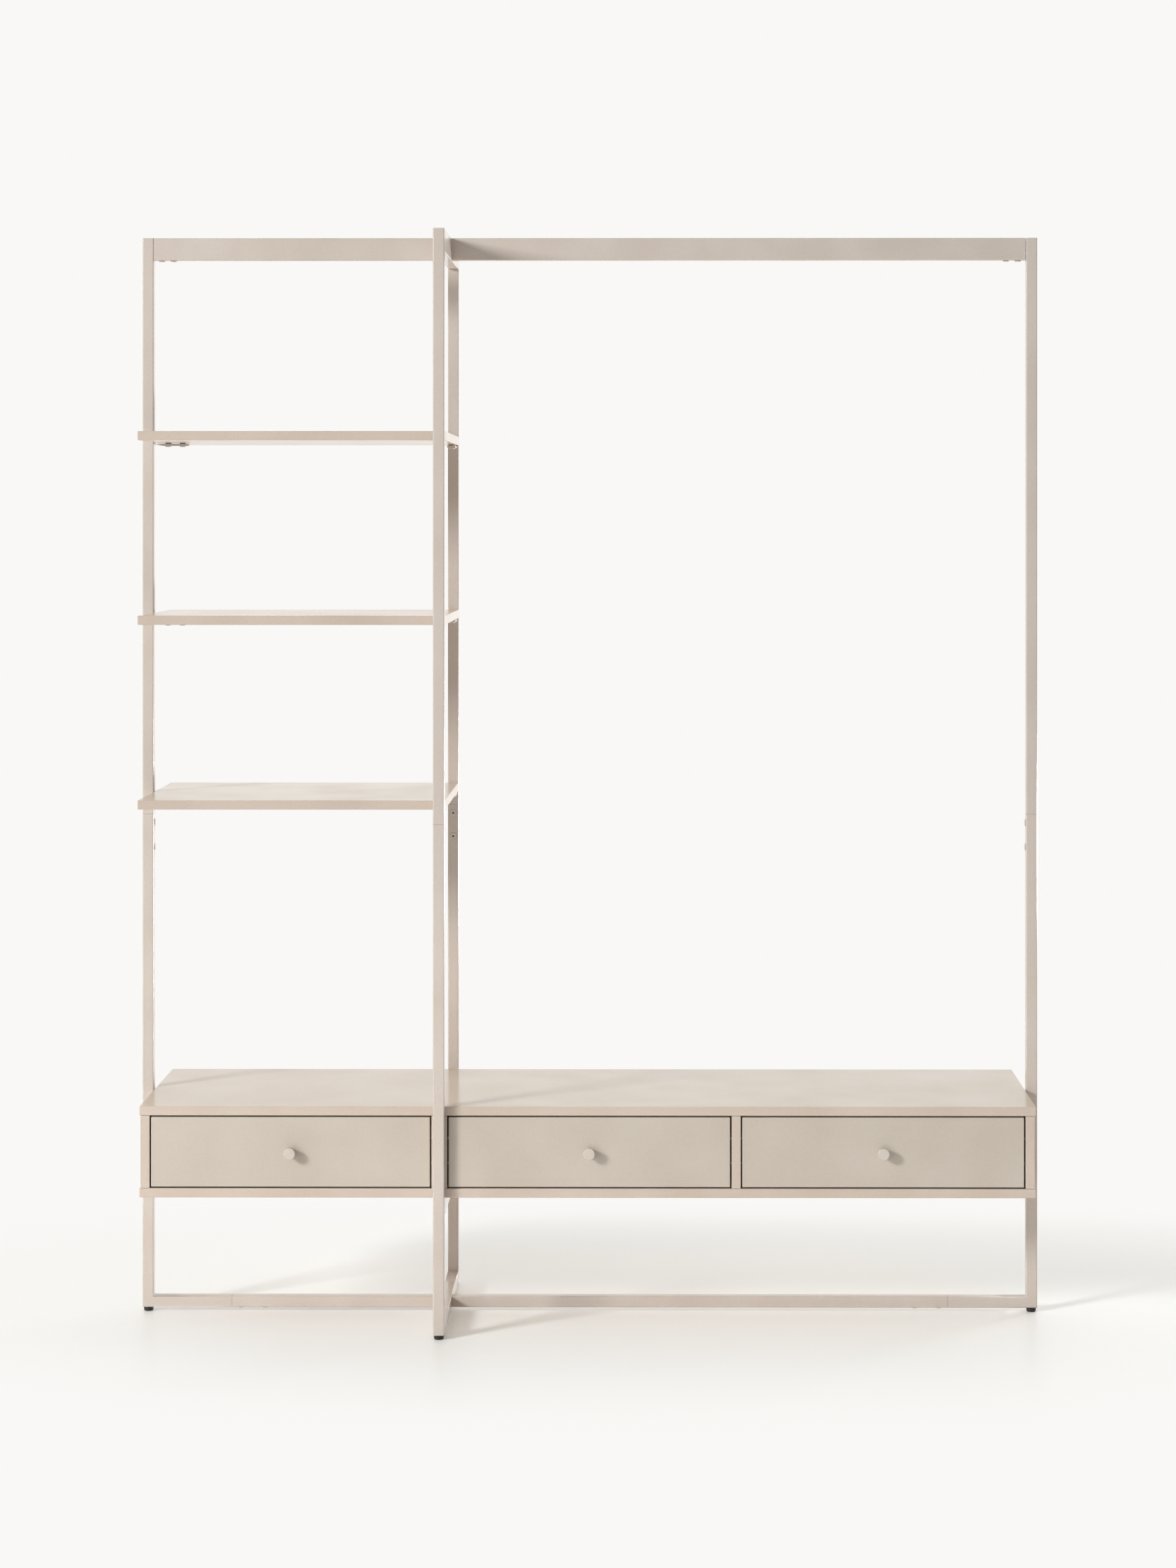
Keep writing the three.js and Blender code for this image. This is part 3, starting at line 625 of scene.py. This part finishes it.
# Drawers
WALL = 12 * MM
WALL_JOINT = 0.15 * MM
WALL_EASE = 0.8 * MM
KNOB_FOOT = 7 * MM
FRONT_SCREW_IN = 60 * MM
FRONT_SCREW_LEVELS = (-26 * MM, 26 * MM)
RUNNER_SCREWS_AT = (35 * MM, 163 * MM, 323 * MM)
RUNNER_SHEET = 1.2 * MM
for bay in ("left", "middle", "right"):
    body = f"drawer_{bay}"
    front = bmesh.new()
    add_board(front, *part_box(f"{body}_front"), 1.5 * MM, 4)
    piece(f"{body}_front_panel", front, body, lacquered_front, [f"{body}_front"])
    low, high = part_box(f"{body}_knob")
    middle = (low + high) / 2
    radius = (high.x - low.x) / 2
    length = high.y - low.y
    knob = bmesh.new()
    profile = [(0, 0), (KNOB_FOOT, 0), *rim(radius, length, 1.5 * MM), (0, length)]
    add_turned(knob, profile, Vector((middle.x, high.y, middle.z)), -Y_AXIS, 64)
    piece(f"{body}_turned_knob", knob, body, lacquered_knob, [f"{body}_knob"])
    low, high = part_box(f"{body}_box")
    left_in = low.x + WALL + WALL_JOINT
    right_in = high.x - WALL - WALL_JOINT
    box = bmesh.new()
    add_board(box, low, (low.x + WALL, high.y, high.z), WALL_EASE)
    add_board(box, (high.x - WALL, low.y, low.z), high, WALL_EASE)
    add_board(box, (left_in, low.y, low.z), (right_in, low.y + WALL, high.z), WALL_EASE)
    add_board(box, (left_in, high.y - WALL, low.z), (right_in, high.y, high.z), WALL_EASE)
    piece(f"{body}_box_walls", box, body, foil_board, [f"{body}_box"])
    low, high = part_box(f"{body}_bottom")
    panel = bmesh.new()
    add_board(panel, low, high, 0.3 * MM, 1)
    piece(f"{body}_bottom_panel", panel, body, foil_board, [f"{body}_bottom"])

    low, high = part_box(f"{body}_box")
    inner = low.y + WALL
    fixing = [(Vector((middle.x, inner, middle.z)), Y_AXIS)]
    for side in (-1, 1):
        across = (high.x - low.x) / 2 - FRONT_SCREW_IN
        for level_at in FRONT_SCREW_LEVELS:
            fixing.append((Vector((middle.x + side * across, inner, middle.z + level_at)), Y_AXIS))
    screws(f"{body}_fixing_screws", fixing, FRONT_SCREW, zinc_plate, body)
    slide_fixing = []
    for side, label in ((-1, "left"), (1, "right")):
        runner_low, runner_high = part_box(f"runner_{bay}_{label}")
        web = (runner_low.x if side > 0 else runner_high.x) + side * RUNNER_SHEET
        for along in RUNNER_SCREWS_AT:
            spot = Vector((web, low.y + along, (runner_low.z + runner_high.z) / 2))
            slide_fixing.append((spot, X_AXIS * side))
    screws(f"{body}_runner_screws", slide_fixing, RUNNER_SCREW, zinc_plate, body)

# Clips of black plastic in front of the channels' webs. They are also painted shade: they darken the gaps
# beside the drawer fronts where shade falls
CLIP_FACES = (0.1 * MM, 1.3 * MM)
CLIP_LONG = 6 * MM
CLIP_TRIM = 3 * MM
CLIP_EASE = 0.3 * MM
gap_shade_clips = bmesh.new()
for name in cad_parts:
    if name.startswith("channel_"):
        low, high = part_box(name)
        wall, into = (low.x, 1) if name.endswith("left") else (high.x, -1)
        near, far = sorted(wall + into * face for face in CLIP_FACES)
        clip_low = (near, low.y - CLIP_LONG, low.z + CLIP_TRIM)
        clip_high = (far, low.y, high.z - CLIP_TRIM)
        add_board(gap_shade_clips, clip_low, clip_high, CLIP_EASE, 2)
piece("slide_clips_gap_shade", gap_shade_clips, "frame", black_glide)

# Nodes that keep their CAD mesh
for name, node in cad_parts.items():
    if name.startswith(("channel_", "runner_")):
        node.data.materials.clear()
        node.data.materials.append(zinc_plate)

# Studio: a pale floor, a little darker towards the key light, that fades into the backdrop. The darkening
# towards the left is painted shade in the tone that the camera sees
BACKDROP = "#f9f8f6"
floor_mesh = bpy.data.meshes.new("studio_floor")
floor_mesh.from_pydata([(-14, -9, 0), (14, -9, 0), (14, 16, 0), (-14, 16, 0)], [], [(0, 1, 2, 3)])
floor = bpy.data.objects.new("studio_floor", floor_mesh)
scene.collection.objects.link(floor)
paper = bpy.data.materials.new("seamless_paper")
paper.use_nodes = True
tree = paper.node_tree
shader = tree.nodes["Principled BSDF"]
shader.inputs["Roughness"].default_value = 0.36
shader.inputs["Specular IOR Level"].default_value = 0.25
shader.inputs["Emission Color"].default_value = linear("#fffaf3")
shader.inputs["Emission Strength"].default_value = 0.106
place = add(tree, "ShaderNodeTexCoord")
centred = add(tree, "ShaderNodeMapping", {
    "Vector": place.outputs["Object"], "Location": (-0.12, -0.12, 0), "Scale": (0.62, 1.35, 1.0),
})
distance = add(tree, "ShaderNodeVectorMath", {0: centred.outputs[0]}, operation="LENGTH")
fade = add(tree, "ShaderNodeMapRange", {
    "Value": distance.outputs["Value"], "From Min": 0.5, "From Max": 1.3,
}, interpolation_type="SMOOTHSTEP")
across = add(tree, "ShaderNodeSeparateXYZ", {0: place.outputs["Object"]})
# Painted shade on the floor: the tone seen by the camera darkens from x = 0.4 towards x = -1.0
floor_shade_mask = add(tree, "ShaderNodeMapRange", {"Value": across.outputs["X"], "From Min": -1.0, "From Max": 0.4})
floor_shade_tone = add(tree, "ShaderNodeMix", {
    0: floor_shade_mask.outputs[0], 6: linear("#e8e7e5"), 7: linear("#f7f7f5"),
}, data_type="RGBA")
seen = add(tree, "ShaderNodeLightPath")
bounced = add(tree, "ShaderNodeMix", {
    0: seen.outputs["Is Camera Ray"], 6: linear("#e3e1de"), 7: floor_shade_tone.outputs[2],
}, data_type="RGBA")
tree.links.new(bounced.outputs[2], shader.inputs["Base Color"])
far = add(tree, "ShaderNodeEmission", {"Color": linear(BACKDROP), "Strength": 1.0})
blend = add(tree, "ShaderNodeMixShader", {0: fade.outputs[0], 1: shader.outputs[0], 2: far.outputs[0]})
tree.links.new(blend.outputs[0], tree.nodes["Material Output"].inputs["Surface"])
floor_mesh.materials.append(paper)

# Studio light: a cove that is bright behind and above, a key and a low fill from the left, and a rim light
# from behind on the right. The cove's shares are its light from the right, from behind and from above.
COVE_SHARES = (0.06, 0.88, 0.38)
COVE_LEAST = 0.127
world = bpy.data.worlds.new("white_cove")
scene.world = world
world.use_nodes = True
tree = world.node_tree
tree.nodes.clear()
where = add(tree, "ShaderNodeTexCoord")
sides = add(tree, "ShaderNodeVectorMath", {
    0: where.outputs["Generated"], 1: (0, 0, 0),
}, operation="MAXIMUM")
share = add(tree, "ShaderNodeVectorMath", {0: sides.outputs[0], 1: COVE_SHARES}, operation="DOT_PRODUCT")
level = add(tree, "ShaderNodeMath", {0: share.outputs["Value"], 1: COVE_LEAST}, operation="ADD")
cove = add(tree, "ShaderNodeBackground", {"Color": linear("#fffefb"), "Strength": level.outputs[0]})
plain = add(tree, "ShaderNodeBackground", {"Color": linear(BACKDROP), "Strength": 1.0})
ray = add(tree, "ShaderNodeLightPath")
shown = add(tree, "ShaderNodeMixShader", {
    0: ray.outputs["Is Camera Ray"], 1: cove.outputs[0], 2: plain.outputs[0],
})
add(tree, "ShaderNodeOutputWorld", {"Surface": shown.outputs[0]})


def softbox(name, place, aim, size, watts, spread=180, colour="#ffffff"):
    """A rectangular light at a place, aimed at a point. Spread is how wide it shines, in degrees."""
    light = bpy.data.lights.new(name, "AREA")
    light.shape = "RECTANGLE"
    light.size, light.size_y = size
    light.energy = watts
    light.spread = math.radians(spread)
    light.color = linear(colour)[:3]
    lamp = bpy.data.objects.new(name, light)
    scene.collection.objects.link(lamp)
    lamp.location = place
    lamp.rotation_euler = (Vector(aim) - Vector(place)).to_track_quat("-Z", "Y").to_euler()


softbox("key_softbox", (-6.1, -5.2, 3.6), (-0.1, 0, 0.9), (1.6, 1.6), 562, colour="#f8fcff")
softbox("low_fill", (-2.2, -3.4, 0.25), (0.1, 0, 0.1), (2.4, 0.4), 1.2, spread=24)
softbox("rim_softbox", (4.3, 3.7, 0.3), (0, 0, 0.9), (1.2, 0.5), 44, spread=60, colour="#ecf5ff")

# Camera, from a fit to edges of the photograph
camera_data = bpy.data.cameras.new("camera")
camera_data.sensor_width = 36
camera_data.lens = 77.302
camera_data.shift_x = -0.03266
camera_data.shift_y = -0.16822
camera_data.clip_end = 60
camera = bpy.data.objects.new("camera", camera_data)
camera.location = (0.1211, -6.0285, 1.4154)
camera.rotation_euler = (math.pi / 2, 0, 0.00537)
scene.collection.objects.link(camera)
scene.camera = camera
scene.view_settings.view_transform = "Standard"
